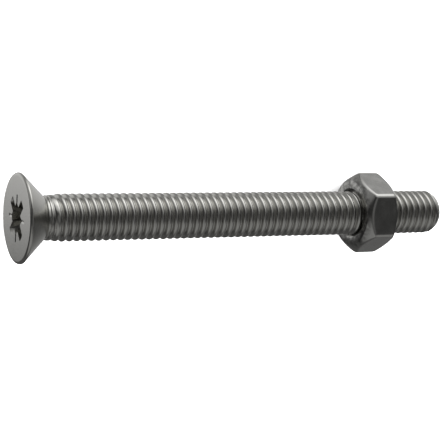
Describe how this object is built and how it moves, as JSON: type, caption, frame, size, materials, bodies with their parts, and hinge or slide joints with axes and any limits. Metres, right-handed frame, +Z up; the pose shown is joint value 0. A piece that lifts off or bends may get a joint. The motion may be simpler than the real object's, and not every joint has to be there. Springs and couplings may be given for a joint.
{
  "type": "countersunk bolt",
  "caption": "Countersunk machine bolt with a cross recess in its flat head, a right-hand thread along the whole shank and a hexagon nut run on near the free end.",
  "frame": {"origin": "centre of the head's face, in the plane that comes flush with the fastened plate", "axes": "+X along the axis from the head to the free end, +Z up with the bolt lying on its head's rim and one flat of its nut, +Y to the side"},
  "size_m": [0.05, 0.0092, 0.0092],
  "materials": {
    "screw_steel": "bright stainless steel, cold formed and rolled, slightly mottled",
    "nut_steel": "duller stainless steel with fine turning marks on the end faces"
  },
  "bodies": {
    "screw": {"screw": "screw_steel"},
    "nut": {"hex_nut": "nut_steel"}
  },
  "joints": [
    {"name": "nut_travel", "type": "slide", "parent": "screw", "child": "nut", "axis": [1, 0, 0], "range_m": [-0.0336, 0.0096]}
  ]
}
